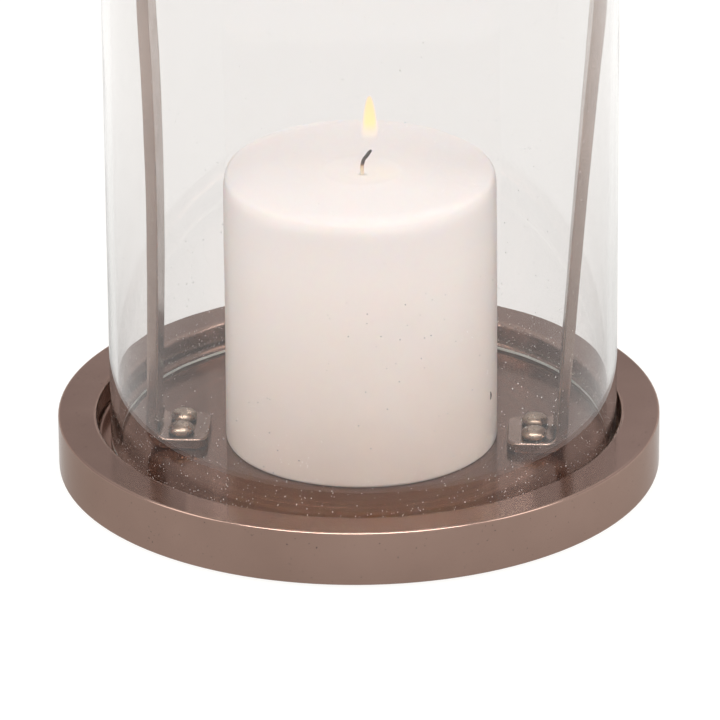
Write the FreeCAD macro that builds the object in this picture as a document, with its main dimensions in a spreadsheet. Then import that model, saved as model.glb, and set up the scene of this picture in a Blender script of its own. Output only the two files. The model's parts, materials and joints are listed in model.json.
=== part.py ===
import FreeCAD, Part
import math
import os
import Sketcher

# Hurricane candle lantern: a cast tray with a raised rim, a flat-bar handle riveted to the tray's floor,
# a loose glass cylinder standing round the handle, and a pillar candle in the middle.
# Origin: centre of the circle the pads stand on. +Z up, +X along the handle. Millimetres and degrees.

SIZES = {
    # cast tray
    "pad_height": 1.0, "pad_radius": 5.0, "pad_circle": 102.0,
    "tray_radius": 110.0, "tray_height": 20.5, "rim_width": 14.3, "recess_depth": 9.8,
    "floor_thickness": 4.0, "ring_bottom_width": 14.0,
    "rim_outer_round": 0.9, "rim_inner_round": 1.6, "tray_foot_round": 1.2, "recess_corner_round": 1.5,
    # glass cylinder, which stands loose in the recess, a little to one side
    "glass_radius": 92.6, "glass_wall": 3.0, "glass_height": 230.0,
    "glass_shift": 1.7, "glass_lip_round": 1.2,
    # pillar candle
    "candle_radius": 49.7, "candle_height": 103.4, "candle_shift": 1.1, "candle_top_round": 2.4,
    "candle_bottom_round": 1.0, "melt_radius": 14.0, "melt_depth": 1.5,
    "wick_shift": 0.9, "wick_radius": 0.85, "wick_rise": 1.8, "wick_bend_radius": 5.0,
    "wick_bend_angle": 35.0, "wick_tip": 4.7,
    "channel_gap": 0.12, "tab_radius": 9.0, "tab_thickness": 0.4,
    "tab_neck_radius": 2.0, "tab_neck_height": 4.0,
    # handle: one flat bar, bent, with its feet turned inwards
    "bar_width": 25.0, "bar_thickness": 4.0, "bar_edge_round": 0.8, "handle_shift": -4.9,
    "foot_reach": 54.3, "foot_corner_round": 4.5, "foot_bend_radius": 3.5,
    "left_bend_centre": 68.9, "right_bend_centre": 68.6,
    "left_bow_radius": 1900.0, "right_bow_radius": 8500.0,
    "left_shoulder": 74.6, "right_shoulder": 86.05, "shoulder_height": 178.0,
    "shoulder_radius": 150.0, "crown_radius": 64.0,
    # rivets through each foot and the tray's floor, peened over a washer
    "rivet_reach": 64.0, "rivet_spacing": 12.0, "rivet_head_radius": 4.9, "rivet_head_height": 4.0,
    "rivet_head_edge": 1.4, "rivet_shank_radius": 2.5, "rivet_hole_gap": 0.08,
    "rivet_tail_radius": 3.9, "rivet_tail_height": 1.6, "rivet_tail_chamfer": 0.7,
    "washer_radius": 5.4, "washer_thickness": 0.8,
}

doc = FreeCAD.newDocument("hurricane_lantern")
dims = doc.addObject("Spreadsheet::Sheet", "dims")
for row, (alias, size) in enumerate(SIZES.items(), start=1):
    dims.set(f"A{row}", alias)
    dims.set(f"B{row}", str(size))
    dims.setAlias(f"B{row}", alias)
doc.recompute()

# heights that several pieces share, as expressions of the sheet
RIM_TOP = "(dims.pad_height + dims.tray_height)"
FLOOR = f"({RIM_TOP} - dims.recess_depth)"
FLOOR_UNDERSIDE = f"({FLOOR} - dims.floor_thickness)"
FOOT_TOP = f"({FLOOR} + dims.bar_thickness)"
WASHER_UNDERSIDE = f"({FLOOR_UNDERSIDE} - dims.washer_thickness)"
RIVET_HOLE = "(dims.rivet_shank_radius + dims.rivet_hole_gap)"
WICK_CHANNEL = "(dims.wick_radius + dims.channel_gap)"
WICK_PLACE = "dims.candle_shift + dims.wick_shift"

START = 1
END = 2
CENTRE = 3
SKETCH_ORIGIN = (-1, 1)
UPRIGHT_AXIS = -2
FULL_TURN = 360.0
PAD_COUNT = 4
DRILL_OVERRUN = 1

# how close an edge lies to a wanted place or direction to be taken as that edge
SAME_PLACE = 0.01
SAME_DIRECTION = 0.99


def number(expression):
    """The present value of an expression of the sheet."""
    return float(dims.evalExpression(expression.replace("dims.", "")))


def new_body(label):
    body = doc.addObject("PartDesign::Body", label)
    body.Label = label
    return body


def new_sketch(body, name, plane_role):
    """An empty sketch on one of the body's own origin planes."""
    sketch = body.newObject("Sketcher::SketchObject", name)
    plane = next(item for item in body.Origin.OriginFeatures if item.Role == plane_role)
    sketch.AttachmentSupport = [(plane, "")]
    sketch.MapMode = "FlatFace"
    return sketch


def bind(sketch, constraint, expression):
    """Adds a dimension to a sketch and ties it to the sheet."""
    index = sketch.addConstraint(constraint)
    sketch.setExpression(f"Constraints[{index}]", expression)


def pin_point(sketch, geometry, end, across, up):
    """Ties one end of a line or arc to a place given by two expressions."""
    if across == "0":
        sketch.addConstraint(Sketcher.Constraint("PointOnObject", geometry, end, UPRIGHT_AXIS))
    else:
        bind(sketch, Sketcher.Constraint("DistanceX", *SKETCH_ORIGIN, geometry, end, number(across)), across)
    bind(sketch, Sketcher.Constraint("DistanceY", *SKETCH_ORIGIN, geometry, end, number(up)), up)


def outline(sketch, corners):
    """A closed outline of straight lines through corners, each a pair of expressions."""
    places = [FreeCAD.Vector(number(across), number(up), 0) for across, up in corners]
    lines = []
    for i, place in enumerate(places):
        lines.append(sketch.addGeometry(Part.LineSegment(place, places[(i + 1) % len(places)])))
    for i, line in enumerate(lines):
        sketch.addConstraint(Sketcher.Constraint("Coincident", line, END, lines[(i + 1) % len(lines)], START))
    for line, (across, up) in zip(lines, corners):
        pin_point(sketch, line, START, across, up)
    doc.recompute()


def revolve(body, sketch):
    """Turns a sketch on the XZ plane right round the upright axis."""
    turned = body.newObject("PartDesign::Revolution", f"{body.Label}_turned")
    turned.Profile = sketch
    turned.ReferenceAxis = (sketch, ["V_Axis"])
    turned.Angle = FULL_TURN
    doc.recompute()


def hollow_out(body, sketch):
    """Cuts away what a sketch on the XZ plane passes through as it turns about its own upright axis."""
    before = body.Shape.Volume
    groove = body.newObject("PartDesign::Groove", f"{body.Label}_hollow")
    groove.Profile = sketch
    groove.ReferenceAxis = (sketch, ["V_Axis"])
    groove.Angle = FULL_TURN
    body.Tip = groove
    doc.recompute()
    if body.Shape.Volume >= before:
        raise RuntimeError(f"{groove.Name} removed nothing from {body.Label}")


def round_edges(body, name, radius, chosen):
    """Rounds the edges of the body's last feature that the test picks out."""
    base = body.Tip
    names = [f"Edge{i}" for i, edge in enumerate(base.Shape.Edges, start=1) if chosen(edge)]
    fillet = body.newObject("PartDesign::Fillet", f"{body.Label}_{name}")
    fillet.Base = (base, names)
    fillet.Radius = number(radius)
    fillet.setExpression("Radius", radius)
    body.Tip = fillet
    doc.recompute()


def ring_edge(radius, height):
    """A test for the round edge of this radius at this height."""
    wanted_radius = number(radius)
    wanted_height = number(height)

    def chosen(edge):
        curve = edge.Curve
        if not isinstance(curve, Part.Circle):
            return False
        same_radius = abs(curve.Radius - wanted_radius) < SAME_PLACE
        same_height = abs(curve.Center.z - wanted_height) < SAME_PLACE
        return same_radius and same_height and abs(curve.Axis.z) > SAME_DIRECTION
    return chosen


def rivet_places():
    """Left and right foot, front and back rivet: name, then X and Y expressions from the bar's middle."""
    for side, along in (("left", "-dims.rivet_reach"), ("right", "dims.rivet_reach")):
        for row_name, across in (("front", "-dims.rivet_spacing / 2"), ("back", "dims.rivet_spacing / 2")):
            yield f"{side}_{row_name}", along, across


def on_tray(across):
    """A Y expression from the bar's middle, turned into one from the tray's middle."""
    return f"{across} + dims.handle_shift"


def drill_upwards(body, name, circles, depth):
    """Drills round holes from the XY plane up to a height; circles are (x, y, radius) expressions."""
    before = body.Shape.Volume
    sketch = new_sketch(body, f"{body.Label}_{name}_circles", "XY_Plane")
    for across, along, radius in circles:
        centre = FreeCAD.Vector(number(across), number(along), 0)
        circle = sketch.addGeometry(Part.Circle(centre, FreeCAD.Vector(0, 0, 1), number(radius)))
        bind(sketch, Sketcher.Constraint("DistanceX", *SKETCH_ORIGIN, circle, CENTRE, centre.x), across)
        bind(sketch, Sketcher.Constraint("DistanceY", *SKETCH_ORIGIN, circle, CENTRE, centre.y), along)
        bind(sketch, Sketcher.Constraint("Radius", circle, number(radius)), radius)
    doc.recompute()
    pocket = body.newObject("PartDesign::Pocket", f"{body.Label}_{name}")
    pocket.Profile = sketch
    pocket.Reversed = True
    pocket.Length = number(depth)
    pocket.setExpression("Length", depth)
    body.Tip = pocket
    doc.recompute()
    if body.Shape.Volume >= before:
        raise RuntimeError(f"{name} removed nothing from {body.Label}")


def make_tray():
    body = new_body("base_tray")
    sketch = new_sketch(body, "tray_section", "XZ_Plane")
    ring_inside = "(dims.tray_radius - dims.ring_bottom_width)"
    recess = "(dims.tray_radius - dims.rim_width)"
    outline(sketch, [
        ("0", FLOOR_UNDERSIDE),
        (ring_inside, FLOOR_UNDERSIDE),
        (ring_inside, "dims.pad_height"),
        ("dims.tray_radius", "dims.pad_height"),
        ("dims.tray_radius", RIM_TOP),
        (recess, RIM_TOP),
        (recess, FLOOR),
        ("0", FLOOR),
    ])
    revolve(body, sketch)
    round_edges(body, "rim_outer_round", "dims.rim_outer_round", ring_edge("dims.tray_radius", RIM_TOP))
    round_edges(body, "rim_inner_round", "dims.rim_inner_round", ring_edge(recess, RIM_TOP))
    round_edges(body, "foot_round", "dims.tray_foot_round", ring_edge("dims.tray_radius", "dims.pad_height"))
    round_edges(body, "recess_corner", "dims.recess_corner_round", ring_edge(recess, FLOOR))
    holes = [(along, on_tray(across), RIVET_HOLE) for _, along, across in rivet_places()]
    drill_upwards(body, "rivet_holes", holes, FOOT_TOP)
    return body


def make_pads():
    """Four round felt pads stuck under the tray's ring."""
    pads = []
    for i in range(PAD_COUNT):
        pad = doc.addObject("Part::Cylinder", f"felt_pad_{i + 1}")
        pad.Label = f"felt_pad_{i + 1}"
        pad.setExpression("Radius", "dims.pad_radius")
        pad.setExpression("Height", "dims.pad_height")
        turn = FULL_TURN / PAD_COUNT * (i + 0.5)
        pad.setExpression("Placement.Base.x", f"dims.pad_circle * cos({turn})")
        pad.setExpression("Placement.Base.y", f"dims.pad_circle * sin({turn})")
        pads.append(pad)
    return pads


def arc_through(start, finish, radius, left_turn):
    """The short arc of a given radius between two points, drawn anticlockwise as sketches need it."""
    first, last = (start, finish) if left_turn else (finish, start)
    chord = last - first
    half = chord.Length / 2
    rise = radius - math.sqrt(radius ** 2 - half ** 2)
    outwards = FreeCAD.Vector(chord.y, -chord.x, 0).normalize()
    return Part.Arc(first, first + chord * 0.5 + outwards * rise, last)


def handle_stations():
    """Points along the bar's centre line where its curvature changes, from left foot to right foot."""
    foot = number(f"{FLOOR} + dims.bar_thickness / 2")
    bend = number("dims.foot_bend_radius + dims.bar_thickness / 2")
    shoulder = number("dims.shoulder_height")
    left_foot = -number("dims.left_bend_centre")
    right_foot = number("dims.right_bend_centre")
    left_shoulder = -number("dims.left_shoulder")
    right_shoulder = number("dims.right_shoulder")
    half_span = (right_shoulder - left_shoulder) / 2
    middle = (right_shoulder + left_shoulder) / 2
    shoulder_arc = number("dims.shoulder_radius")
    crown = number("dims.crown_radius")
    # the crown arc hands over to the shoulder arcs where both have the same slope
    turn = math.acos((shoulder_arc - half_span) / (shoulder_arc - crown))
    rise = shoulder_arc * math.sin(turn)
    narrow = crown * math.cos(turn)
    reach = number("dims.foot_reach")
    flat = [(-reach, foot), (left_foot, foot), (left_foot - bend, foot + bend), (left_shoulder, shoulder),
            (middle - narrow, shoulder + rise), (middle + narrow, shoulder + rise),
            (right_shoulder, shoulder), (right_foot + bend, foot + bend), (right_foot, foot), (reach, foot)]
    return [FreeCAD.Vector(across, up, 0) for across, up in flat]


def make_handle():
    body = new_body("handle_strap")
    path = new_sketch(body, "handle_centre_line", "XZ_Plane")
    at = handle_stations()
    bend = "(dims.foot_bend_radius + dims.bar_thickness / 2)"
    pieces = [(Part.LineSegment(at[0], at[1]), None)]
    bends = [(bend, False), ("dims.left_bow_radius", True), ("dims.shoulder_radius", False),
             ("dims.crown_radius", False), ("dims.shoulder_radius", False), ("dims.right_bow_radius", True),
             (bend, False)]
    for i, (radius, left_turn) in enumerate(bends, start=1):
        pieces.append((arc_through(at[i], at[i + 1], number(radius), left_turn), radius))
    pieces.append((Part.LineSegment(at[8], at[9]), None))

    joints = []
    for i, (curve, _) in enumerate(pieces):
        index = path.addGeometry(curve)
        forwards = (path.Geometry[index].StartPoint - at[i]).Length < SAME_PLACE
        joints.append((index, (START, END) if forwards else (END, START)))
    for (before, (_, leaving)), (after, (arriving, _)) in zip(joints, joints[1:]):
        path.addConstraint(Sketcher.Constraint("Tangent", before, leaving, after, arriving))
    for (index, _), (_, radius) in zip(joints, pieces):
        if radius:
            bind(path, Sketcher.Constraint("Radius", index, number(radius)), radius)
    foot = f"{FLOOR} + dims.bar_thickness / 2"
    pin_point(path, joints[0][0], START, "-dims.foot_reach", foot)
    pin_point(path, joints[8][0], END, "dims.foot_reach", foot)
    for index in (joints[0][0], joints[8][0]):
        path.addConstraint(Sketcher.Constraint("Horizontal", index))
    left_centre = Sketcher.Constraint("DistanceX", *SKETCH_ORIGIN, joints[1][0], CENTRE, at[1].x)
    right_centre = Sketcher.Constraint("DistanceX", *SKETCH_ORIGIN, joints[7][0], CENTRE, at[8].x)
    bind(path, left_centre, "-dims.left_bend_centre")
    bind(path, right_centre, "dims.right_bend_centre")
    left_leg, (_, left_top) = joints[2]
    right_leg, (right_top, _) = joints[6]
    pin_point(path, left_leg, left_top, "-dims.left_shoulder", "dims.shoulder_height")
    pin_point(path, right_leg, right_top, "dims.right_shoulder", "dims.shoulder_height")
    doc.recompute()

    section = new_sketch(body, "bar_section", "YZ_Plane")
    section.setExpression("AttachmentOffset.Base.z", "-dims.foot_reach")
    half = "dims.bar_width / 2"
    outline(section, [
        (f"-{half}", FLOOR),
        (half, FLOOR),
        (half, FOOT_TOP),
        (f"-{half}", FOOT_TOP),
    ])
    bar = body.newObject("PartDesign::AdditivePipe", "bent_bar")
    bar.Profile = section
    bar.Spine = (path, [])
    body.Tip = bar
    doc.recompute()

    reach = number("dims.foot_reach")

    def foot_corner(edge):
        upright = abs(edge.tangentAt(edge.FirstParameter).z) > SAME_DIRECTION
        return upright and abs(abs(edge.CenterOfMass.x) - reach) < SAME_PLACE

    def bar_edge(edge):
        beside = abs(abs(edge.CenterOfMass.y) - number(half)) < SAME_PLACE
        return beside and edge.Length > number("dims.bar_thickness") + SAME_PLACE

    round_edges(body, "foot_corners", "dims.foot_corner_round", foot_corner)
    round_edges(body, "soft_edges", "dims.bar_edge_round", bar_edge)
    holes = [(along, across, RIVET_HOLE) for _, along, across in rivet_places()]
    drill_upwards(body, "rivet_holes", holes, f"{FOOT_TOP} + {DRILL_OVERRUN}")
    body.setExpression("Placement.Base.y", "dims.handle_shift")
    return body


def make_rivet(label, along, across):
    """A round-headed solid rivet: domed head on the foot, shank, and a peened tail under its washer."""
    body = new_body(label)
    sketch = new_sketch(body, f"{label}_section", "XZ_Plane")
    head = "dims.rivet_head_radius"
    edge_top = f"({FOOT_TOP} + dims.rivet_head_edge)"
    dome_top = f"({FOOT_TOP} + dims.rivet_head_height)"
    tail_bottom = f"({WASHER_UNDERSIDE} - dims.rivet_tail_height)"
    chamfer_top = f"({tail_bottom} + dims.rivet_tail_chamfer)"
    corners = [
        ("0", tail_bottom),
        ("dims.rivet_tail_radius - dims.rivet_tail_chamfer", tail_bottom),
        ("dims.rivet_tail_radius", chamfer_top),
        ("dims.rivet_tail_radius", WASHER_UNDERSIDE),
        ("dims.rivet_shank_radius", WASHER_UNDERSIDE),
        ("dims.rivet_shank_radius", FOOT_TOP),
        (head, FOOT_TOP),
        (head, edge_top),
    ]
    places = [FreeCAD.Vector(number(x), number(z), 0) for x, z in corners]
    lines = [sketch.addGeometry(Part.LineSegment(a, b)) for a, b in zip(places, places[1:])]
    dome = number("dims.rivet_head_height") - number("dims.rivet_head_edge")
    ball = (number(head) ** 2 + dome ** 2) / (2 * dome)
    top = FreeCAD.Vector(0, number(dome_top), 0)
    centre = top - FreeCAD.Vector(0, ball, 0)
    slope = math.atan2(places[-1].y - centre.y, places[-1].x)
    shoulder = Part.ArcOfCircle(Part.Circle(centre, FreeCAD.Vector(0, 0, 1), ball), slope, math.pi / 2)
    arc = sketch.addGeometry(shoulder)
    axis = sketch.addGeometry(Part.LineSegment(top, places[0]))
    for before, after in zip(lines + [arc, axis], lines[1:] + [arc, axis, lines[0]]):
        sketch.addConstraint(Sketcher.Constraint("Coincident", before, END, after, START))
    for line, (x, z) in zip(lines, corners):
        pin_point(sketch, line, START, x, z)
    pin_point(sketch, arc, START, head, edge_top)
    pin_point(sketch, arc, END, "0", dome_top)
    sketch.addConstraint(Sketcher.Constraint("PointOnObject", arc, CENTRE, UPRIGHT_AXIS))
    doc.recompute()
    revolve(body, sketch)
    body.setExpression("Placement.Base.x", along)
    body.setExpression("Placement.Base.y", across)
    return body


def make_washer(label, along, across):
    body = new_body(label)
    sketch = new_sketch(body, f"{label}_section", "XZ_Plane")
    outline(sketch, [
        (RIVET_HOLE, WASHER_UNDERSIDE),
        ("dims.washer_radius", WASHER_UNDERSIDE),
        ("dims.washer_radius", FLOOR_UNDERSIDE),
        (RIVET_HOLE, FLOOR_UNDERSIDE),
    ])
    revolve(body, sketch)
    body.setExpression("Placement.Base.x", along)
    body.setExpression("Placement.Base.y", across)
    return body


def make_glass():
    """An open tube with fire-polished lips, standing on the tray's floor."""
    body = new_body("glass_chimney")
    sketch = new_sketch(body, "glass_section", "XZ_Plane")
    inner = "(dims.glass_radius - dims.glass_wall)"
    top = f"({FLOOR} + dims.glass_height)"
    outline(sketch, [
        (inner, FLOOR),
        ("dims.glass_radius", FLOOR),
        ("dims.glass_radius", top),
        (inner, top),
    ])
    revolve(body, sketch)
    lips = [ring_edge(radius, height) for radius in (inner, "dims.glass_radius") for height in (FLOOR, top)]
    round_edges(body, "lips", "dims.glass_lip_round", lambda edge: any(lip(edge) for lip in lips))
    body.setExpression("Placement.Base.x", "dims.glass_shift")
    return body


def make_wax():
    """The pillar, bored a little off its middle for the wick, with a sunk bottom for the wick's tab and a
    shallow melted dip round the wick."""
    body = new_body("candle_wax")
    sketch = new_sketch(body, "wax_section", "XZ_Plane")
    top = f"({FLOOR} + dims.candle_height)"
    outline(sketch, [
        ("0", FLOOR),
        ("dims.candle_radius", FLOOR),
        ("dims.candle_radius", top),
        ("0", top),
    ])
    revolve(body, sketch)
    round_edges(body, "top_round", "dims.candle_top_round", ring_edge("dims.candle_radius", top))
    round_edges(body, "bottom_round", "dims.candle_bottom_round", ring_edge("dims.candle_radius", FLOOR))

    room = new_sketch(body, "wick_room_section", "XZ_Plane")
    room.setExpression("AttachmentOffset.Base.x", "dims.wick_shift")
    tab_room = "(dims.tab_radius + dims.channel_gap)"
    tab_ceiling = f"({FLOOR} + dims.tab_thickness + dims.channel_gap)"
    neck_room = "(dims.tab_neck_radius + dims.channel_gap)"
    neck_ceiling = f"({tab_ceiling} + dims.tab_neck_height)"
    outline(room, [
        ("0", FLOOR),
        (tab_room, FLOOR),
        (tab_room, tab_ceiling),
        (neck_room, tab_ceiling),
        (neck_room, neck_ceiling),
        (WICK_CHANNEL, neck_ceiling),
        (WICK_CHANNEL, f"({top} - dims.melt_depth)"),
        ("dims.melt_radius", top),
        ("0", top),
    ])
    hollow_out(body, room)
    body.setExpression("Placement.Base.x", "dims.candle_shift")
    return body


def make_wick_tab():
    """The thin metal disc that holds the foot of the wick, with a short crimped neck."""
    body = new_body("wick_tab")
    sketch = new_sketch(body, "tab_section", "XZ_Plane")
    disc_top = f"({FLOOR} + dims.tab_thickness)"
    neck_top = f"({disc_top} + dims.tab_neck_height)"
    outline(sketch, [
        ("0", FLOOR),
        ("dims.tab_radius", FLOOR),
        ("dims.tab_radius", disc_top),
        ("dims.tab_neck_radius", disc_top),
        ("dims.tab_neck_radius", neck_top),
        (WICK_CHANNEL, neck_top),
        (WICK_CHANNEL, disc_top),
        ("0", disc_top),
    ])
    revolve(body, sketch)
    body.setExpression("Placement.Base.x", WICK_PLACE)
    return body


def make_wick():
    """A round cotton cord that stands up out of the melted dip and then leans over."""
    body = new_body("candle_wick")
    path = new_sketch(body, "wick_centre_line", "XZ_Plane")
    foot = f"({FLOOR} + dims.tab_thickness)"
    bend_start = f"({FLOOR} + dims.candle_height + dims.wick_rise)"
    radius = number("dims.wick_bend_radius")
    angle = math.radians(number("dims.wick_bend_angle"))
    low = FreeCAD.Vector(0, number(foot), 0)
    start = FreeCAD.Vector(0, number(bend_start), 0)
    centre = start + FreeCAD.Vector(radius, 0, 0)
    finish = centre + FreeCAD.Vector(-radius * math.cos(angle), radius * math.sin(angle), 0)
    tip = finish + FreeCAD.Vector(math.sin(angle), math.cos(angle), 0) * number("dims.wick_tip")
    upright = path.addGeometry(Part.LineSegment(low, start))
    circle = Part.Circle(centre, FreeCAD.Vector(0, 0, 1), radius)
    bend = path.addGeometry(Part.ArcOfCircle(circle, math.pi - angle, math.pi))
    leaning = path.addGeometry(Part.LineSegment(finish, tip))
    path.addConstraint(Sketcher.Constraint("Tangent", upright, END, bend, END))
    path.addConstraint(Sketcher.Constraint("Tangent", bend, START, leaning, START))
    pin_point(path, upright, START, "0", foot)
    pin_point(path, upright, END, "0", bend_start)
    bind(path, Sketcher.Constraint("Radius", bend, radius), "dims.wick_bend_radius")
    bind(path, Sketcher.Constraint("Distance", leaning, number("dims.wick_tip")), "dims.wick_tip")
    bind(path, Sketcher.Constraint("DistanceX", leaning, START, leaning, END, tip.x - finish.x),
         "dims.wick_tip * sin(dims.wick_bend_angle)")
    doc.recompute()

    section = new_sketch(body, "wick_section", "XY_Plane")
    section.setExpression("AttachmentOffset.Base.z", foot)
    round_section = Part.Circle(FreeCAD.Vector(), FreeCAD.Vector(0, 0, 1), number("dims.wick_radius"))
    circle = section.addGeometry(round_section)
    section.addConstraint(Sketcher.Constraint("Coincident", circle, CENTRE, *SKETCH_ORIGIN))
    bind(section, Sketcher.Constraint("Radius", circle, number("dims.wick_radius")), "dims.wick_radius")
    cord = body.newObject("PartDesign::AdditivePipe", "wick_cord")
    cord.Profile = section
    cord.Spine = (path, [])
    body.Tip = cord
    doc.recompute()
    body.setExpression("Placement.Base.x", WICK_PLACE)
    return body


parts = [make_tray(), make_handle(), make_glass(), make_wax(), make_wick_tab(), make_wick()]
parts += make_pads()
for place, along, across in rivet_places():
    parts.append(make_rivet(f"rivet_{place}", along, on_tray(across)))
    parts.append(make_washer(f"rivet_washer_{place}", along, on_tray(across)))
doc.recompute()

for item in doc.Objects:
    if "Invalid" in item.State or "Error" in item.State:
        raise RuntimeError(f"{item.Label} did not build: {item.State}")
for piece in parts:
    if piece.Shape.isNull() or not piece.Shape.isValid() or len(piece.Shape.Solids) != 1:
        raise RuntimeError(f"{piece.Label} is not one valid solid")

os.makedirs("parts", exist_ok=True)
for piece in parts:
    piece.Shape.exportStep(os.path.join("parts", f"{piece.Label}.step"))
    box = piece.Shape.BoundBox
    print(f"{piece.Label}: {box.XLength:.2f} x {box.YLength:.2f} x {box.ZLength:.2f} mm, "
          f"z {box.ZMin:.2f} to {box.ZMax:.2f}, volume {piece.Shape.Volume:.0f} mm3")
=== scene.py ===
import json
import math
import random

import bmesh
import bpy
from mathutils import Matrix, Vector, noise


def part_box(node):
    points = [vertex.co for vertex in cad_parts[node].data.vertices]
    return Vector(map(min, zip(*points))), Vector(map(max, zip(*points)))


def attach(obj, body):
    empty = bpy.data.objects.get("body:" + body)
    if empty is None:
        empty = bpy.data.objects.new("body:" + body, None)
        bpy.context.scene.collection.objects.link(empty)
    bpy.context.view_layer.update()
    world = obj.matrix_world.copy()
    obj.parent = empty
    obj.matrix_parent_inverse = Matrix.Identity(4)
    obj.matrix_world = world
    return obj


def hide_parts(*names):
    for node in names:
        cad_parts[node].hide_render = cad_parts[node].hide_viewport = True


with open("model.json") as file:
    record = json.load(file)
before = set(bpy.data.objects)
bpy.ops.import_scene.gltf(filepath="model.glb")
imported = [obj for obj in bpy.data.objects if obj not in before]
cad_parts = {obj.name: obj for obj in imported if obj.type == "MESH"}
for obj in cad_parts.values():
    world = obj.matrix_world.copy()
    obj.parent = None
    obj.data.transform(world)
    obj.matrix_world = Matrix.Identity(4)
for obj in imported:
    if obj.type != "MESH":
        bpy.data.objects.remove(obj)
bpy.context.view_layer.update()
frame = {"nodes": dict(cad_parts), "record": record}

# Sizes are in metres and colours in linear light.
MM = 0.001
SOFT_WHITE = (1.0, 0.985, 0.965)

# ---------------------------------------------------------------- places read from the frame
NODES = frame["nodes"]
tray_low, tray_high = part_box("base_tray")
glass_low, glass_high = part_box("glass_chimney")
wax_low, wax_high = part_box("candle_wax")
wick_low, wick_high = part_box("candle_wick")
tab_low, tab_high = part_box("wick_tab")
washer_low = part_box("rivet_washer_left_front")[0]
glass_centre = (glass_low + glass_high) / 2
wax_centre = (wax_low + wax_high) / 2
wick_foot = (tab_low + tab_high) / 2
glass_radius = (glass_high.x - glass_low.x) / 2
wax_radius = (wax_high.x - wax_low.x) / 2
tab_radius = (tab_high.x - tab_low.x) / 2

# ---------------------------------------------------------------- sizes of the detailed pieces
RIM_WIDTH = 14.3 * MM
RECESS_RADIUS = (tray_high.x - tray_low.x) / 2 - RIM_WIDTH
STRAP_THICKNESS = 4.0 * MM
FOOT_TOP = glass_low.z + STRAP_THICKNESS
WASHER_UNDERSIDE = washer_low.z
RIVET_SHANK = 2.5 * MM
RIVET_TAIL = 3.9 * MM
GLASS_WALL = 3.0 * MM
GLASS_LIP = 1.2 * MM
GROUND_REACH = 4.0 * MM
GROUND_EDGE = 1.0 * MM
GLASS_TINT = (0.912, 0.900, 0.896)
CHANNEL_GAP = 0.12 * MM
TAB_THICKNESS = 0.4 * MM
WICK_RADIUS = 0.70 * MM
WICK_ROOM = WICK_RADIUS + CHANNEL_GAP
WICK_RISE = 1.8 * MM
WICK_BEND = 5.0 * MM
WICK_LEAN = math.radians(35)
WICK_TIP = 4.0 * MM
MELT_RADIUS = 14.0 * MM
MELT_DEPTH = 1.5 * MM
WORN_REACH = 7.0 * MM
WORN_DEPTH = 1.5 * MM
LIP_SIDE = math.radians(118)
LIP_HEIGHT = 1.0 * MM
CRUMB_SIDE = math.radians(73)
CRUMB_HEIGHT = 20.0 * MM
CRUMB_LENGTH = 3.4 * MM
CRUMB_RADIUS = 0.26 * MM
CRUMB_BURIED = 0.02 * MM
FLAME_X = wax_centre.x + 3.7 * MM
FLAME_FOOT = wax_high.z + 9.0 * MM
FLAME_TIP = wax_high.z + 29.0 * MM
FLAME_WIDTH = 6.2 * MM


# ---------------------------------------------------------------- mesh helpers
def rounded(corners, steps=6):
    """Points (radius, height) of an outline whose corners (radius, height, rounding) may be arcs."""
    points = []
    count = len(corners)
    for i, (r, z, rounding) in enumerate(corners):
        here = Vector((r, z))
        if rounding == 0:
            points.append(here)
            continue
        before = Vector(corners[(i - 1) % count][:2])
        after = Vector(corners[(i + 1) % count][:2])
        back = (before - here).normalized()
        forward = (after - here).normalized()
        half = back.angle(forward) / 2
        reach = rounding / math.tan(half)
        centre = here + (back + forward).normalized() * rounding / math.sin(half)
        start = here + back * reach - centre
        finish = here + forward * reach - centre
        turn = math.atan2(start.x * finish.y - start.y * finish.x, start.dot(finish))
        for step in range(steps + 1):
            angle = turn * step / steps
            spin = Matrix.Rotation(angle, 2)
            points.append(centre + spin @ start)
    return points


def lathe(name, outline, centre, segments, closed=True, wobble=None):
    """Turns an outline of (radius, height) points about the upright line through centre."""
    mesh = bpy.data.meshes.new(name)
    build = bmesh.new()
    rings = []
    for r, z in outline:
        if r < 1e-7:
            pole = build.verts.new((centre.x, centre.y, z))
            rings.append([pole] * segments)
            continue
        ring = []
        for step in range(segments):
            angle = math.tau * step / segments
            place = Vector((centre.x + r * math.cos(angle), centre.y + r * math.sin(angle), z))
            if wobble:
                place = wobble(place, r, z, angle)
            ring.append(build.verts.new(place))
        rings.append(ring)
    pairs = list(zip(rings, rings[1:]))
    if closed:
        pairs.append((rings[-1], rings[0]))
    for lower, upper in pairs:
        for step in range(segments):
            after = (step + 1) % segments
            corners = []
            for vert in (lower[step], lower[after], upper[after], upper[step]):
                if vert not in corners:
                    corners.append(vert)
            if len(corners) > 2:
                build.faces.new(corners)
    bmesh.ops.recalc_face_normals(build, faces=build.faces)
    build.to_mesh(mesh)
    build.free()
    mesh.shade_smooth()
    piece = bpy.data.objects.new(name, mesh)
    bpy.context.scene.collection.objects.link(piece)
    return piece


def coarse_ball(around, rings):
    """Points and faces of a ball of radius 1. They come in the same order in every run, which those of
    Blender's own sphere don't."""
    points = [Vector((0, 0, 1)), Vector((0, 0, -1))]
    for ring in range(1, rings):
        fall = math.pi * ring / rings
        for step in range(around):
            turn = math.tau * (0.25 - step / around)
            points.append(Vector((math.sin(fall) * math.cos(turn), math.sin(fall) * math.sin(turn),
                                  math.cos(fall))))
    faces = []
    for step in range(around):
        here, after = 2 + step, 2 + (step + 1) % around
        faces.append([here, 0, after])
        for _ in range(rings - 2):
            faces.append([here + around, here, after, after + around])
            here, after = here + around, after + around
        faces.append([1, here, after])
    return points, faces


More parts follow.
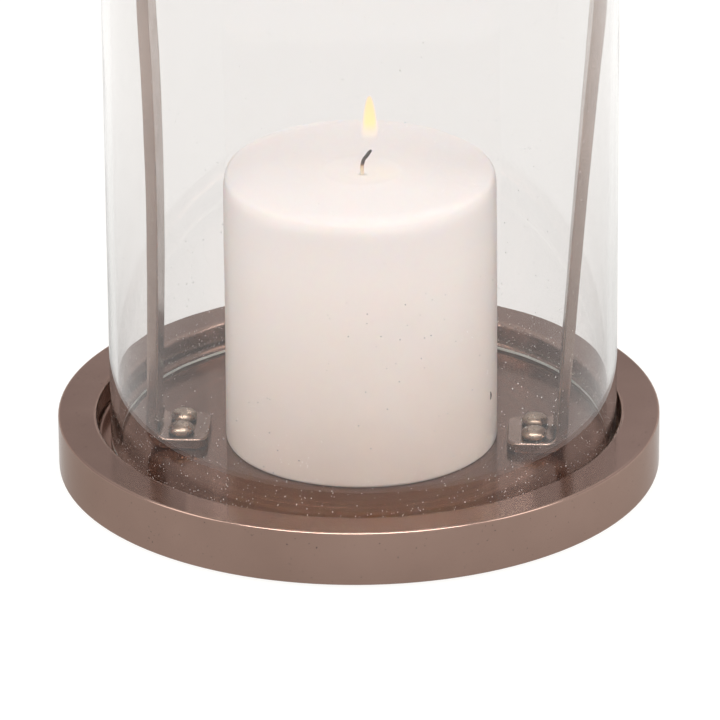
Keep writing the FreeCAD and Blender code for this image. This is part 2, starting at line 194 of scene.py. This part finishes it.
# ---------------------------------------------------------------- material helpers
class Surface:
    """A material with a Principled shader, and short ways to add procedural detail to it."""

    def __init__(self, name, **uniform):
        self.material = bpy.data.materials.new(name)
        self.material.use_nodes = True
        self.tree = self.material.node_tree
        self.shader = self.tree.nodes["Principled BSDF"]
        self.output = self.tree.nodes["Material Output"]
        for socket, value in uniform.items():
            self.shader.inputs[socket.replace("_", " ")].default_value = value
        self.place = self.add("ShaderNodeTexCoord").outputs["Object"]

    def add(self, kind, links=None, **settings):
        node = self.tree.nodes.new(kind)
        for name, value in settings.items():
            if hasattr(node, name):
                setattr(node, name, value)
            else:
                node.inputs[name.replace("_", " ")].default_value = value
        for name, source in (links or {}).items():
            self.tree.links.new(source, node.inputs[name])
        return node

    def link(self, source, socket):
        self.tree.links.new(source, self.shader.inputs[socket])

    def noise(self, scale, detail, stretch=None):
        place = self.place
        if stretch:
            place = self.add("ShaderNodeMapping", {"Vector": place}, Scale=stretch).outputs["Vector"]
        return self.pattern(place, scale, detail)

    def pattern(self, place, scale, detail):
        made = self.add("ShaderNodeTexNoise", {"Vector": place}, Scale=scale, Detail=detail, Roughness=0.5)
        return made.outputs["Fac"]

    def cells(self, scale):
        """Distance from scattered points, in units of their mean spacing of 1 / scale."""
        made = self.add("ShaderNodeTexVoronoi", {"Vector": self.place}, Scale=scale, Randomness=1.0)
        return made.outputs["Distance"]

    def between(self, source, low, high, start=0.3, end=0.7):
        """Maps a 0-1 pattern's middle stretch to values from low to high."""
        made = self.add("ShaderNodeMapRange", {"Value": source})
        made.inputs["From Min"].default_value = start
        made.inputs["From Max"].default_value = end
        made.inputs["To Min"].default_value = low
        made.inputs["To Max"].default_value = high
        return made.outputs["Result"]

    def ramp(self, source, *stops):
        """Colours along a 0-1 value; stops are (position, colour)."""
        made = self.add("ShaderNodeValToRGB", {"Fac": source})
        elements = made.color_ramp.elements
        elements[0].position, elements[0].color = stops[0][0], (*stops[0][1], 1)
        elements[1].position, elements[1].color = stops[-1][0], (*stops[-1][1], 1)
        for position, colour in stops[1:-1]:
            elements.new(position).color = (*colour, 1)
        return made.outputs["Color"]

    def maths(self, operation, first, second):
        return self.add("ShaderNodeMath", {0: first, 1: second}, operation=operation).outputs["Value"]

    def height(self):
        return self.add("ShaderNodeSeparateXYZ", {"Vector": self.place}).outputs["Z"]

    def distance_from_axis(self):
        flat = self.add("ShaderNodeMapping", {"Vector": self.place}, Scale=(1, 1, 0)).outputs["Vector"]
        return self.add("ShaderNodeVectorMath", {0: flat}, operation="LENGTH").outputs["Value"]

    def mix(self, factor, first, second):
        made = self.add("ShaderNodeMix", {"Factor": factor}, data_type="RGBA")
        for index, value in ((6, first), (7, second)):
            if isinstance(value, tuple):
                made.inputs[index].default_value = (*value, 1)
            else:
                self.tree.links.new(value, made.inputs[index])
        return made.outputs[2]

    def bump(self, height, distance, under=None):
        links = {"Height": height}
        if under:
            links["Normal"] = under
        return self.add("ShaderNodeBump", links, Strength=1.0, Distance=distance).outputs["Normal"]


EDGE_ON_TINT = (0.80, 0.75, 0.72, 1)


def tray_metal():
    """Cast metal plated a warm rose bronze, with fine pits and slight waves: the rim and side polished
    bright; the recess a little duller, darker with painted shade, and with the rings that turning left in
    its floor."""
    made = Surface("tray_metal", Metallic=1.0, Specular_Tint=EDGE_ON_TINT)
    rim = made.mix(made.between(made.noise(14, 4), 0, 1), (0.300, 0.202, 0.165), (0.378, 0.261, 0.217))
    out = made.distance_from_axis()
    rings = made.pattern(made.add("ShaderNodeCombineXYZ", {"X": out}).outputs["Vector"], 260, 3)
    # painted shade: the recess is coloured darker than the rim
    recess = made.mix(made.between(rings, 0, 1), (0.200, 0.125, 0.098), (0.315, 0.195, 0.154))
    # mask of the recess, used for its painted shade and its duller finish
    inside = made.between(out, 1, 0, RECESS_RADIUS - 0.2 * MM, RECESS_RADIUS + 0.4 * MM)
    sunk = made.between(made.height(), 1, 0, tray_high.z - 3.0 * MM, tray_high.z - 1.0 * MM)
    in_recess = made.maths("MULTIPLY", inside, sunk)
    tone = made.mix(in_recess, rim, recess)
    pits = made.between(made.noise(900, 2), 0, 1, 0.70, 0.76)
    made.link(made.mix(pits, tone, (0.14, 0.094, 0.077)), "Base Color")
    dull = made.between(in_recess, 0.0, 0.02, 0, 1)
    made.link(made.maths("ADD", made.between(made.noise(60, 5), 0.10, 0.17), dull), "Roughness")
    waves = made.bump(made.noise(16, 1), 0.00025)
    made.link(made.bump(made.noise(260, 3), 0.000012, waves), "Normal")
    return made.material


def strap_metal():
    """Rolled bar, plated like the tray's rim and left satin, with faint drawing lines up its legs."""
    made = Surface("strap_metal", Metallic=1.0, Specular_Tint=EDGE_ON_TINT)
    made.link(made.mix(made.between(made.noise(40, 4), 0, 1), (0.30, 0.212, 0.172), (0.375, 0.273, 0.226)),
              "Base Color")
    made.link(made.between(made.noise(120, 4), 0.13, 0.24), "Roughness")
    grain = made.noise(500, 3, stretch=(1, 1, 0.04))
    made.link(made.bump(grain, 0.00003), "Normal")
    return made.material


def rivet_metal():
    """Champagne nickel, dulled by the hammer that closed the rivets, with painted shade round each head's
    foot.
    """
    made = Surface("rivet_metal", Metallic=1.0, Specular_Tint=EDGE_ON_TINT)
    unshaded_tone = made.mix(made.between(made.noise(300, 4), 0, 1), (0.33, 0.245, 0.19), (0.46, 0.36, 0.285))
    # painted shade: darker where the head meets the foot
    painted_shade_at_foot = made.between(made.height(), 1.0, 0.0, FOOT_TOP + 0.2 * MM, FOOT_TOP + 1.3 * MM)
    made.link(made.mix(painted_shade_at_foot, unshaded_tone, (0.05, 0.036, 0.027)), "Base Color")
    made.link(made.between(made.noise(500, 4), 0.22, 0.36), "Roughness")
    made.link(made.bump(made.noise(700, 2), 0.00008), "Normal")
    return made.material


def tab_metal():
    """Stamped tinplate, grey and slightly uneven."""
    made = Surface("tab_metal", Metallic=1.0)
    made.link(made.mix(made.between(made.noise(300, 4), 0, 1), (0.45, 0.45, 0.45), (0.6, 0.6, 0.6)),
              "Base Color")
    made.link(made.between(made.noise(400, 3), 0.25, 0.45), "Roughness")
    return made.material


def clear_glass():
    """Blown glass under a faint film of dust and round specks, thickest low down, that darkens a little
    with the depth of glass looked through. A lamp's light passes straight through its surfaces."""
    made = Surface("clear_glass", Roughness=0.0, IOR=1.5)
    made.shader.inputs["Base Color"].default_value = (*GLASS_TINT, 1)
    low = made.between(made.height(), 1.0, 0.28, glass_low.z + 0.02, glass_low.z + 0.12)
    patch = made.between(made.noise(9, 2), 0.35, 1.0, 0.40, 0.62)
    share = made.maths("MULTIPLY", low, patch)
    specks = made.maths("MULTIPLY", made.between(made.cells(210), 0.8, 0.0, 0.045, 0.07), share)
    film = made.maths("MULTIPLY", made.between(made.noise(120, 4), 0.0, 0.012), share)
    cover = made.maths("ADD", specks, film)
    made.link(made.between(cover, 1.0, 0.0, 0, 1), "Transmission Weight")
    made.link(made.bump(made.noise(22, 2, stretch=(1, 1, 0.5)), 0.00012), "Normal")
    path = made.add("ShaderNodeLightPath")
    clear = made.add("ShaderNodeBsdfTransparent")
    clear.inputs["Color"].default_value = (*GLASS_TINT, 1)
    mix = made.add("ShaderNodeMixShader")
    made.tree.links.new(path.outputs["Is Shadow Ray"], mix.inputs["Fac"])
    made.tree.links.new(made.shader.outputs["BSDF"], mix.inputs[1])
    made.tree.links.new(clear.outputs["BSDF"], mix.inputs[2])
    made.tree.links.new(mix.outputs["Shader"], made.output.inputs["Surface"])
    depth = made.add("ShaderNodeVolumeAbsorption", Color=(0.50, 0.57, 0.53, 1), Density=14.0)
    made.tree.links.new(depth.outputs["Volume"], made.output.inputs["Volume"])
    return made.material


def ground_edge():
    """The glass's cut and ground bottom edge: matt, and pale green where light collects in it."""
    made = Surface("ground_edge", IOR=1.5, Transmission_Weight=0.35)
    made.link(made.mix(made.between(made.noise(300, 3), 0, 1), (0.76, 0.83, 0.77), (0.88, 0.91, 0.87)),
              "Base Color")
    made.link(made.between(made.noise(800, 3), 0.35, 0.6), "Roughness")
    return made.material


def seed_white():
    """The pale glint of a seed, a fleck of unmelted batch or trapped gas within the glass."""
    made = Surface("seed_white", IOR=1.5, Transmission_Weight=0.45)
    made.link(made.mix(made.between(made.noise(2000, 2), 0, 1), (0.86, 0.86, 0.84), (0.97, 0.97, 0.96)),
              "Base Color")
    made.link(made.between(made.noise(2000, 2), 0.25, 0.45), "Roughness")
    return made.material


def ivory_wax():
    """Paraffin wax, its colour painted with light and shade along its height: warmer and darker down at the
    tray, with painted shade and painted light reflected from the tray, palest at three quarters of its
    height, and with a painted glow a little towards the flame. It is a little yellower in a spot beside the
    wick."""
    made = Surface("ivory_wax", IOR=1.44, Specular_IOR_Level=0.05, Subsurface_Weight=0.7,
                   Subsurface_Scale=0.006)
    made.shader.inputs["Subsurface Radius"].default_value = (1.0, 0.7, 0.5)
    along = made.between(made.height(), 0.0, 1.0, wax_low.z, wax_high.z)
    ragged = made.maths("ADD", along, made.between(made.noise(30, 4), -0.05, 0.05))
    # painted light and shade along the height, with painted warm light reflected from the tray low down
    plain = made.ramp(ragged, (0.0, (0.69, 0.618, 0.56)), (0.30, (0.80, 0.728, 0.675)),
                      (0.75, (0.858, 0.802, 0.770)), (1.0, (0.805, 0.763, 0.752)))
    pool = made.add("ShaderNodeVectorMath", {0: made.place}, operation="SUBTRACT")
    pool.inputs[1].default_value = (wax_centre.x + 7 * MM, -1 * MM, wax_high.z)
    far = made.add("ShaderNodeVectorMath", {0: pool.outputs["Vector"]}, operation="LENGTH").outputs["Value"]
    uneven = made.maths("MULTIPLY", made.between(far, 0.55, 0.0, 2 * MM, 9 * MM), made.noise(260, 3))
    made.link(made.mix(uneven, plain, (0.90, 0.80, 0.66)), "Base Color")
    made.link(made.between(made.noise(80, 4), 0.50, 0.66), "Roughness")
    # painted glow, growing towards the flame
    made.shader.inputs["Emission Color"].default_value = (1.0, 0.93, 0.89, 1)
    made.link(made.between(along, 0.0, 0.035, 0.35, 0.95), "Emission Strength")
    soft = made.bump(made.noise(35, 3), 0.0005)
    made.link(made.bump(made.noise(420, 3), 0.00008, soft), "Normal")
    return made.material


def wick_cotton():
    """Cotton cord: soaked in wax at its root, scorched brown and then burnt black towards the tip."""
    made = Surface("wick_cotton")
    along = made.between(made.height(), 0.0, 1.0, wax_high.z - MELT_DEPTH, wick_high.z)
    ragged = made.maths("ADD", along, made.between(made.noise(900, 3), -0.06, 0.06))
    made.link(made.ramp(ragged, (0.0, (0.86, 0.78, 0.64)), (0.24, (0.76, 0.60, 0.42)),
                        (0.35, (0.26, 0.12, 0.06)), (0.45, (0.035, 0.022, 0.018)),
                        (1.0, (0.015, 0.013, 0.013))),
              "Base Color")
    made.link(made.between(made.noise(700, 3), 0.55, 0.9), "Roughness")
    made.link(made.bump(made.noise(2500, 3), 0.0002), "Normal")
    return made.material


def burnt_crumb():
    """Charred cotton, dark brown to black."""
    made = Surface("burnt_crumb")
    made.link(made.mix(made.between(made.noise(1500, 3), 0, 1), (0.03, 0.022, 0.018), (0.09, 0.06, 0.045)),
              "Base Color")
    made.link(made.between(made.noise(900, 3), 0.55, 0.85), "Roughness")
    return made.material


def flame_light(name, colours, cover):
    """Glowing gas that thins out to nothing at its foot; colours and cover are stops along its height."""
    made = Surface(name)
    along = made.between(made.height(), 0.0, 1.0, FLAME_FOOT, FLAME_TIP)
    glow = made.add("ShaderNodeEmission", {"Color": made.ramp(along, *colours)}, Strength=1.2)
    gas = made.add("ShaderNodeBsdfTransparent")
    thick = made.ramp(along, *[(position, (amount, amount, amount)) for position, amount in cover])
    mix = made.add("ShaderNodeMixShader", {"Fac": thick})
    made.tree.links.new(gas.outputs["BSDF"], mix.inputs[1])
    made.tree.links.new(glow.outputs["Emission"], mix.inputs[2])
    made.tree.links.new(mix.outputs["Shader"], made.output.inputs["Surface"])
    return made.material


def felt():
    """Dark brown felt with a fibrous surface."""
    made = Surface("felt", Roughness=0.95)
    made.link(made.mix(made.between(made.noise(900, 4), 0, 1), (0.05, 0.037, 0.03), (0.10, 0.08, 0.065)),
              "Base Color")
    made.link(made.bump(made.noise(2500, 3), 0.0002), "Normal")
    return made.material


MATERIALS = {
    "tray_metal": tray_metal(), "strap_metal": strap_metal(), "rivet_metal": rivet_metal(),
    "tab_metal": tab_metal(), "clear_glass": clear_glass(), "ivory_wax": ivory_wax(),
    "wick_cotton": wick_cotton(), "felt": felt(),
}
for subpart in frame["record"]["subparts"]:
    node = NODES[subpart["node"]]
    node.data.materials.clear()
    node.data.materials.append(MATERIALS[subpart["material_slot"]])


# ---------------------------------------------------------------- glass
def make_glass():
    """A blown tube: its wall waves a little, its lips are soft, and its ground foot isn't quite even."""
    outer = glass_radius
    inner = glass_radius - GLASS_WALL
    low = glass_low.z
    high = glass_high.z
    corners = rounded([(outer, low, GLASS_LIP), (outer, high, GLASS_LIP),
                       (inner, high, GLASS_LIP), (inner, low, GLASS_LIP)], steps=5)
    rings = 56
    outline = []
    for here, after in zip(corners, corners[1:] + corners[:1]):
        outline.append(here)
        if abs(after.y - here.y) > 20 * MM:
            outline += [here.lerp(after, step / rings) for step in range(1, rings)]

    def wave(place, r, z, angle):
        direction = Vector((math.cos(angle), math.sin(angle), 0))
        side = 0.0 if r > inner + GLASS_WALL / 2 else 7.0
        swell = noise.noise(Vector((direction.x * 2.2, direction.y * 2.2, z * 9 + side)))
        place = place + direction * swell * 0.08 * MM
        foot = max(0.0, 1 - (z - low) / GROUND_REACH)
        uneven = noise.noise(direction * 3.5) + 0.5 * noise.noise(direction * 11)
        place.z += foot * (0.22 + 0.16 * uneven) * MM
        return place

    glass = lathe("glass_cylinder", outline, glass_centre, segments=288, wobble=wave)
    glass.data.materials.append(MATERIALS["clear_glass"])
    glass.data.materials.append(ground_edge())
    for face in glass.data.polygons:
        face.material_index = 1 if face.center.z < low + GROUND_EDGE else 0
    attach(glass, "glass")
    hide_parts("glass_chimney")


def make_seeds():
    """Fine seeds and a few coarse ones within the glass wall, drawn out upwards as the tube was blown and
    thickest low down."""
    draw = random.Random(7)
    points, faces = coarse_ball(around=5, rings=4)
    middle = glass_radius - GLASS_WALL / 2
    tall = glass_high.z - glass_low.z
    fine, coarse = 4500, 16
    vertices = []
    polygons = []
    for i in range(fine + coarse):
        angle = draw.uniform(0, math.tau)
        z = glass_low.z + 4 * MM + (tall - 10 * MM) * draw.random() ** 2
        width = (draw.uniform(0.065, 0.125) if i < fine else draw.uniform(0.14, 0.24)) * MM
        length = width * draw.uniform(1.0, 2.6)
        place = Matrix.Translation((glass_centre.x + middle * math.cos(angle), middle * math.sin(angle), z))
        spin = Matrix.Rotation(angle, 4, "Z") @ Matrix.Rotation(draw.uniform(-0.2, 0.2), 4, "X")
        seed = place @ spin @ Matrix.Diagonal((width, width, length, 1))
        first = len(vertices)
        vertices += [seed @ point for point in points]
        polygons += [[first + corner for corner in face] for face in faces]
    mesh = bpy.data.meshes.new("glass_seeds")
    mesh.from_pydata(vertices, [], polygons)
    mesh.shade_smooth()
    mesh.materials.append(seed_white())
    seeds = bpy.data.objects.new("glass_seeds", mesh)
    bpy.context.scene.collection.objects.link(seeds)
    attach(seeds, "glass")


# ---------------------------------------------------------------- rivets
def make_rivet(place_name):
    """A solid rivet closed by hand: a plump domed head, drawn in at its foot, with faint hammer flats."""
    node = f"rivet_{place_name}"
    low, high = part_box(node)
    centre = (low + high) / 2
    head = (high.x - low.x) / 2
    outline = rounded([
        (0, low.z, 0), (RIVET_TAIL, low.z, 0.7 * MM), (RIVET_TAIL, WASHER_UNDERSIDE, 0),
        (RIVET_SHANK, WASHER_UNDERSIDE, 0), (RIVET_SHANK, FOOT_TOP, 0),
    ], steps=4)
    widest = 1.4 * MM
    dome = high.z - FOOT_TOP - widest
    steps = 20
    undercut = -math.asin(widest / dome * 0.9)
    for step in range(steps + 1):
        angle = undercut + (math.pi / 2 - undercut) * step / steps
        up = FOOT_TOP + widest + dome * math.sin(angle) if step else FOOT_TOP
        outline.append(Vector((head * math.cos(angle) if step < steps else 0.0, up)))

    def hammered(place, r, z, angle):
        if z > FOOT_TOP + 0.5 * MM:
            flat = noise.noise(place * 420)
            place = place.lerp(Vector((centre.x, centre.y, FOOT_TOP)), 0.022 + 0.028 * flat)
        return place

    rivet = lathe(f"closed_{node}", outline, centre, segments=64, closed=False, wobble=hammered)
    rivet.data.materials.append(MATERIALS["rivet_metal"])
    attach(rivet, "base")
    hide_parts(node)


# ---------------------------------------------------------------- candle
def make_wax():
    """The pillar: faint unevenness from casting, a thin lip where its top edge stands a little higher, an
    edge worn rounder towards the front, and a dip melted round the wick, which stands a little beside the
    middle."""
    top = wax_high.z
    bottom = wax_low.z
    tab_room = tab_radius + CHANNEL_GAP
    tab_ceiling = bottom + TAB_THICKNESS + CHANNEL_GAP
    outline = rounded([
        (WICK_ROOM, top - MELT_DEPTH, 0), (5 * MM, top - 1.3 * MM, 1 * MM), (MELT_RADIUS, top, 6 * MM),
        (wax_radius, top, 1.4 * MM), (wax_radius, bottom, 1 * MM), (tab_room, bottom, 0),
        (tab_room, tab_ceiling, 0), (WICK_ROOM, tab_ceiling, 0),
    ])
    full = []
    for here, after in zip(outline, outline[1:] + outline[:1]):
        full.append(here)
        steps = int((after - here).length / (1.25 * MM))
        full += [here.lerp(after, step / steps) for step in range(1, steps)]

    def uneven(place, r, z, angle):
        inwards = min(1.0, (wax_radius - r) / (wax_radius - MELT_RADIUS))
        place.x += (wick_foot.x - wax_centre.x) * inwards
        if z > top - 3 * MM and r > WICK_ROOM * 2:
            place.z += (noise.noise(place * 55) * 0.22 - 0.10) * MM
            lip = max(0.0, 1 - (wax_radius - r) / (4 * MM)) * max(0.0, math.cos(angle - LIP_SIDE))
            place.z += LIP_HEIGHT * lip ** 2
        if r > wax_radius - WORN_REACH:
            outwards = Vector((math.cos(angle), math.sin(angle), 0))
            place = place + outwards * (noise.noise(place * 28) * 0.18 - 0.12) * MM
            beside = max(0.0, 1 - (wax_radius - r) / WORN_REACH)
            below = max(0.0, 1 - (top - z) / WORN_REACH)
            worn = WORN_DEPTH * (beside * below) ** 2 * (0.5 - 0.5 * math.sin(angle))
            place = place - (outwards + Vector((0, 0, 1))) * worn
        return place

    wax = lathe("pillar_wax", full, wax_centre, segments=192, wobble=uneven)
    wax.data.materials.append(MATERIALS["ivory_wax"])
    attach(wax, "candle")
    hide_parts("candle_wax")


def make_crumb():
    """A curved crumb of burnt wick, stuck to the candle's side low on the right."""
    along = Vector((math.cos(CRUMB_SIDE), math.sin(CRUMB_SIDE), 0))
    out = Vector((along.y, -along.x, 0))
    foot = wax_low.z + CRUMB_HEIGHT
    steps = 14
    outline = [Vector((CRUMB_RADIUS * math.sin(math.pi * step / steps) ** 0.5 if 0 < step < steps else 0.0,
                       foot + CRUMB_LENGTH * step / steps)) for step in range(steps + 1)]

    def bent(place, r, z, angle):
        lean = math.sin(math.pi * (z - foot) / CRUMB_LENGTH)
        return place + along * (0.6 * lean + 0.06 * noise.noise(place * 3000)) * MM

    place = wax_centre + out * (wax_radius - CRUMB_BURIED)
    crumb = lathe("wick_crumb", outline, place, segments=14, closed=False, wobble=bent)
    crumb.data.materials.append(burnt_crumb())
    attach(crumb, "candle")


def wick_path():
    """Points up the wick, from its metal tab to its burnt tip."""
    x = wick_foot.x
    bend_start = wax_high.z + WICK_RISE
    points = [Vector((x, 0, wick_low.z + (bend_start - wick_low.z) * step / 40)) for step in range(40)]
    for step in range(9):
        angle = WICK_LEAN * step / 8
        across = x + WICK_BEND * (1 - math.cos(angle))
        points.append(Vector((across, 0, bend_start + WICK_BEND * math.sin(angle))))
    lean = Vector((math.sin(WICK_LEAN), 0, math.cos(WICK_LEAN)))
    points += [points[-1] + lean * WICK_TIP * step / 10 for step in range(1, 11)]
    return points


def make_wick():
    """Three twisted strands, swept along the wick's path and burnt thin at the tip."""
    path = wick_path()
    around = 24
    mesh = bpy.data.meshes.new("braided_wick")
    build = bmesh.new()
    rings = []
    travelled = 0.0
    for i, point in enumerate(path):
        if i:
            travelled += (point - path[i - 1]).length
        heading = (path[min(i + 1, len(path) - 1)] - path[max(i - 1, 0)]).normalized()
        side = Vector((0, 1, 0))
        out = side.cross(heading)
        left = len(path) - 1 - i
        thin = 1.0 if left > 3 else 0.55 + 0.15 * left
        ring = []
        for step in range(around):
            angle = math.tau * step / around
            lobes = 1 - 0.16 * (0.5 + 0.5 * math.cos(3 * angle + travelled / (0.45 * MM)))
            spread = WICK_RADIUS * lobes * thin
            ring.append(build.verts.new(point + (side * math.sin(angle) + out * math.cos(angle)) * spread))
        rings.append(ring)
    for lower, upper in zip(rings, rings[1:]):
        for step in range(around):
            after = (step + 1) % around
            build.faces.new((lower[step], lower[after], upper[after], upper[step]))
    build.faces.new(rings[0])
    build.faces.new(rings[-1])
    bmesh.ops.recalc_face_normals(build, faces=build.faces)
    build.to_mesh(mesh)
    build.free()
    mesh.shade_smooth()
    mesh.materials.append(MATERIALS["wick_cotton"])
    wick = bpy.data.objects.new("braided_wick", mesh)
    bpy.context.scene.collection.objects.link(wick)
    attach(wick, "candle")
    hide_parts("candle_wick")


def make_flame():
    """A small flame in three nested skins, the inner one the yellowest. It is light and not a solid, so it
    takes its finish from no slot of the record."""
    skins = [
        ("flame_halo", 1.0, [(0.0, (1.0, 0.82, 0.80)), (0.5, (1.0, 0.82, 0.72)), (1.0, (1.0, 0.78, 0.66))],
         [(0.0, 0.0), (0.14, 0.0), (0.4, 0.30), (1.0, 0.35)]),
        ("flame_mantle", 0.84,
         [(0.0, (1.0, 0.82, 0.76)), (0.30, (1.0, 0.84, 0.66)), (0.50, (1.0, 0.88, 0.38)),
          (1.0, (1.0, 0.76, 0.36))],
         [(0.0, 0.0), (0.14, 0.0), (0.5, 0.50), (1.0, 0.60)]),
        ("flame_core", 0.62,
         [(0.0, (1.0, 0.84, 0.74)), (0.30, (1.0, 0.88, 0.60)), (0.48, (1.0, 0.92, 0.16)),
          (1.0, (1.0, 0.80, 0.24))],
         [(0.0, 0.0), (0.22, 0.0), (0.5, 0.65), (1.0, 0.80)]),
    ]
    height = FLAME_TIP - FLAME_FOOT
    steps = 40
    low_bulge, fullness = 0.45, 0.45
    for name, share, colours, cover in skins:
        outline = []
        for step in range(steps + 1):
            t = step / steps
            bulge = math.sin(math.pi * t ** low_bulge) ** fullness if 0 < step < steps else 0.0
            up = FLAME_FOOT + height * (0.10 * (1 - share) + t * (0.75 + 0.25 * share))
            outline.append(Vector((FLAME_WIDTH / 2 * share * bulge, up)))
        flame = lathe(name, outline, Vector((FLAME_X, 0, 0)), segments=48, closed=False)
        flame.data.materials.append(flame_light(name, colours, cover))
        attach(flame, "candle")
    glow = bpy.data.lights.new("flame_glow", "POINT")
    glow.energy = 0.003
    glow.color = (1.0, 0.80, 0.55)
    glow.shadow_soft_size = 2.5 * MM
    lamp = bpy.data.objects.new("flame_glow", glow)
    bpy.context.scene.collection.objects.link(lamp)
    lamp.location = (FLAME_X, 0, (FLAME_FOOT + FLAME_TIP) / 2)
    lamp.visible_camera = False
    lamp.visible_glossy = False
    lamp.visible_transmission = False
    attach(lamp, "candle")


make_glass()
make_seeds()
for place_name in ("left_front", "left_back", "right_front", "right_back"):
    make_rivet(place_name)
make_wax()
make_wick()
make_crumb()
make_flame()


# ---------------------------------------------------------------- floor, lights and camera
FLOOR_RADIUS = 12.0
SOFTBOX_AIM = Vector((0, 0, 0.1))
SEEN_GLOW = 0.95
NEAR_MIRRORED, FAR_MIRRORED = 0.65, 1.0
MIRRORED_FROM, MIRRORED_TO = 0.12, 0.45
NEAR_GLOW, FAR_GLOW = 0.46, 0.92
GLOW_FROM, GLOW_TO = 0.17, 0.45


def make_floor():
    """A wide plain pale floor. It is white where it is seen, directly or through the glass, and dimmer
    near the tray to what mirrors it and to what it lights."""
    mesh = bpy.data.meshes.new("floor")
    build = bmesh.new()
    bmesh.ops.create_circle(build, cap_ends=True, radius=FLOOR_RADIUS, segments=96)
    build.to_mesh(mesh)
    build.free()
    floor = bpy.data.objects.new("floor", mesh)
    bpy.context.scene.collection.objects.link(floor)
    made = Surface("floor_paint", Roughness=0.8, Specular_IOR_Level=0.0)
    made.shader.inputs["Base Color"].default_value = (0.12, 0.12, 0.12, 1)
    made.shader.inputs["Emission Color"].default_value = (*SOFT_WHITE, 1)
    path = made.add("ShaderNodeLightPath")
    lighting = made.between(path.outputs["Diffuse Depth"], 0.0, 1.0, 0, 1)
    mirrored = made.between(path.outputs["Glossy Depth"], 0.0, 1.0, 0, 1)
    out = made.distance_from_axis()
    shine = made.between(out, NEAR_MIRRORED, FAR_MIRRORED, MIRRORED_FROM, MIRRORED_TO)
    direct = made.add("ShaderNodeMix", {"Factor": mirrored, "B": shine}).outputs["Result"]
    direct.node.inputs["A"].default_value = SEEN_GLOW
    dimmed = made.between(out, NEAR_GLOW, FAR_GLOW, GLOW_FROM, GLOW_TO)
    glow = made.add("ShaderNodeMix", {"Factor": lighting, "A": direct, "B": dimmed}).outputs["Result"]
    made.link(glow, "Emission Strength")
    mesh.materials.append(made.material)


def make_world():
    """Soft studio surroundings: bright low down and overhead, with a dimmer band between."""
    world = bpy.data.worlds.new("studio")
    world.use_nodes = True
    bpy.context.scene.world = world
    tree = world.node_tree
    back = tree.nodes["Background"]
    place = tree.nodes.new("ShaderNodeTexCoord")
    split = tree.nodes.new("ShaderNodeSeparateXYZ")
    tree.links.new(place.outputs["Generated"], split.inputs["Vector"])
    ramp = tree.nodes.new("ShaderNodeValToRGB")
    tree.links.new(split.outputs["Z"], ramp.inputs["Fac"])
    bands = ramp.color_ramp.elements
    bands[0].position, bands[0].color = 0.30, (0.86, 0.84, 0.85, 1)
    bands[1].position, bands[1].color = 0.58, (0.85, 0.84, 0.84, 1)
    for position in (0.37, 0.46):
        bands.new(position).color = (0.60, 0.58, 0.60, 1)
    tree.links.new(ramp.outputs["Color"], back.inputs["Color"])
    back.inputs["Strength"].default_value = 1.0


def make_softbox(name, place, width, height, brightness):
    """A rectangular lamp turned towards the lantern; brightness is that of its face, whatever its size."""
    light = bpy.data.lights.new(name, "AREA")
    light.shape = "RECTANGLE"
    light.size = width
    light.size_y = height
    light.color = SOFT_WHITE
    light.energy = brightness * width * height * math.pi
    softbox = bpy.data.objects.new(name, light)
    bpy.context.scene.collection.objects.link(softbox)
    softbox.location = place
    softbox.rotation_mode = "QUATERNION"
    softbox.rotation_quaternion = (SOFTBOX_AIM - Vector(place)).to_track_quat("-Z", "Y")
    return softbox


def make_camera():
    """The photograph's view: from a little above and a little to the right, through a long lens."""
    azimuth, elevation, roll = math.radians(3.0), math.radians(23.598), math.radians(0.4487)
    distance = 2.53327
    aim_right, aim_height = 0.585 * MM, 38.99 * MM
    camera = bpy.data.objects.new("camera", bpy.data.cameras.new("camera"))
    bpy.context.scene.collection.objects.link(camera)
    right = Vector((math.cos(azimuth), math.sin(azimuth), 0))
    back = Vector((math.sin(azimuth) * math.cos(elevation), -math.cos(azimuth) * math.cos(elevation),
                   math.sin(elevation)))
    aim = right * aim_right + Vector((0, 0, tray_low.z + aim_height))
    camera.location = aim + back * distance
    camera.rotation_mode = "QUATERNION"
    camera.rotation_quaternion = (-back).to_track_quat("-Z", "Y")
    camera.rotation_quaternion = Matrix.Rotation(roll, 3, -back).to_quaternion() @ camera.rotation_quaternion
    camera.data.sensor_width = 36.0
    camera.data.lens = 347.1
    camera.data.clip_start = 0.1
    camera.data.clip_end = 50.0
    bpy.context.scene.camera = camera


make_floor()
make_world()
make_softbox("front_softbox", (0, -1.9, 2.1), 2.6, 0.20, 9.0)
make_softbox("left_softbox", (-2.0, -0.7, 1.6), 1.2, 1.2, 2.7)
make_softbox("right_softbox", (2.0, -0.7, 1.6), 1.2, 1.2, 2.9)
# the overhead strip makes bright edges and glints, and is hidden from diffuse surfaces
strip = make_softbox("overhead_strip", (0, -1.1, 2.3), 3.0, 0.40, 16.5)
strip.visible_diffuse = False
make_camera()
bpy.context.scene.view_settings.view_transform = "Standard"
bpy.context.scene.cycles.use_denoising = True
for limit in ("max_bounces", "glossy_bounces", "transmission_bounces", "transparent_max_bounces"):
    setattr(bpy.context.scene.cycles, limit, 20)
